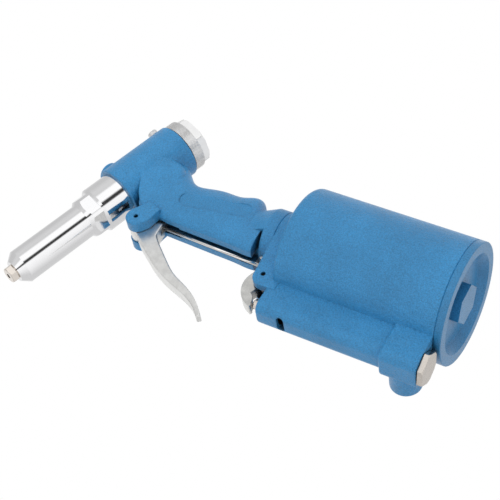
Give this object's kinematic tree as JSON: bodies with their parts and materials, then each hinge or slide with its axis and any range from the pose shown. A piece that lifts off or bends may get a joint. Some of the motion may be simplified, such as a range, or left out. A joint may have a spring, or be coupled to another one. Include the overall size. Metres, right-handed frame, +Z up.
{
  "type": "pneumatic rivet gun",
  "caption": "Air-hydraulic pistol for pulling blind rivets, with a lever trigger, a large air cylinder under the grip and a tubular pulling nose.",
  "frame": {"origin": "centre of the base cap, in the plane of the rim and hex boss on which the tool stands", "axes": "+Z up along the air cylinder, the nose points towards -Y and 17 degrees up, +X completes the right-handed frame"},
  "size_m": [0.084, 0.1711, 0.3028],
  "materials": {
    "blue_frame": "hammered gloss enamel",
    "blue_cylinder": "hammered gloss enamel",
    "blue_cap": "gloss enamel",
    "nose_chrome": "mirror chrome",
    "rocker_chrome": "bright chrome",
    "tip_nickel": "bright nickel",
    "plug_nickel": "bright nickel",
    "trigger_nickel": "satin nickel casting",
    "cap_aluminium": "bright knurled",
    "pin_steel": "oiled steel",
    "screw_steel": "bright zinc",
    "rod_steel": "bright steel",
    "stem_brass": "turned brass",
    "piston_aluminium": "machined",
    "hard_steel": "ground",
    "turned_steel": "turned",
    "spring_steel": "oil tempered",
    "seal_rubber": "nitrile"
  },
  "bodies": {
    "frame": {"frame_casting": "blue_frame", "cylinder_casting": "blue_cylinder", "neck_gland": "turned_steel", "ram_seal": "seal_rubber", "base_cap": "blue_cap", "base_cap_seal": "seal_rubber", "bumper": "seal_rubber", "nose_casing": "nose_chrome", "nosepiece": "tip_nickel", "rod_gland": "turned_steel", "rod_seal": "seal_rubber", "rear_cap": "cap_aluminium", "rear_cap_gasket": "seal_rubber", "cap_lock_screw": "screw_steel", "trigger_pin": "pin_steel", "rocker_pin": "pin_steel", "valve_plug": "plug_nickel", "valve_plug_seal": "seal_rubber", "valve_spring": "spring_steel", "pull_return_spring": "spring_steel"},
    "trigger": {"trigger": "trigger_nickel"},
    "control_rod": {"control_rod": "rod_steel", "rod_nuts": "rod_steel"},
    "rocker": {"rocker": "rocker_chrome"},
    "valve": {"valve_stem": "stem_brass", "spool_seals": "seal_rubber"},
    "air_piston": {"air_piston": "piston_aluminium", "air_piston_seal": "seal_rubber", "ram": "hard_steel", "ram_nut": "turned_steel"},
    "puller": {"pull_piston": "hard_steel", "pull_piston_seal": "seal_rubber", "lock_nut": "turned_steel", "jaw_coupler": "turned_steel", "jaw_case": "turned_steel", "jaw_spring": "spring_steel"},
    "jaws": {"jaw_1": "hard_steel", "jaw_2": "hard_steel", "jaw_3": "hard_steel", "jaw_pusher": "hard_steel"}
  },
  "joints": [
    {"name": "trigger_pull", "type": "hinge", "parent": "frame", "child": "trigger", "pos_m": [0, -0.0315, 0.2322], "axis": [1, 0, 0], "range_deg": [0, 14], "stiffness_Nm_per_rad": 3, "springref_deg": -8.59},
    {"name": "rod_lift", "type": "slide", "parent": "frame", "child": "control_rod", "axis": [0, 0.0315, 0.9995], "range_m": [0, 0.0024]},
    {"name": "rocker_turn", "type": "hinge", "parent": "frame", "child": "rocker", "pos_m": [0, -0.038, 0.1276], "axis": [1, 0, 0], "range_deg": [0, 12]},
    {"name": "valve_push", "type": "slide", "parent": "frame", "child": "valve", "axis": [0, 0, -1], "range_m": [0, 0.0045], "deforming": ["valve_spring"]},
    {"name": "air_piston_stroke", "type": "slide", "parent": "frame", "child": "air_piston", "axis": [0, 0, 1], "range_m": [0, 0.07]},
    {"name": "pull_stroke", "type": "slide", "parent": "frame", "child": "puller", "axis": [0, 0.9563, -0.2924], "range_m": [0, 0.0145], "stiffness_N_per_m": 1500, "springref_m": -0.012, "deforming": ["pull_return_spring"]},
    {"name": "jaw_release", "type": "slide", "parent": "puller", "child": "jaws", "axis": [0, 0.9563, -0.2924], "range_m": [0, 0.0015], "stiffness_N_per_m": 2000, "springref_m": -0.004, "deforming": ["jaw_spring"]}
  ],
  "couplings": [
    {"joint": "rod_lift", "follows": "trigger_pull", "m_per_rad": 0.009413},
    {"joint": "rocker_turn", "follows": "trigger_pull", "ratio": 0.77759},
    {"joint": "valve_push", "follows": "trigger_pull", "m_per_rad": 0.017598},
    {"joint": "pull_stroke", "follows": "air_piston_stroke", "ratio": 0.20571}
  ]
}
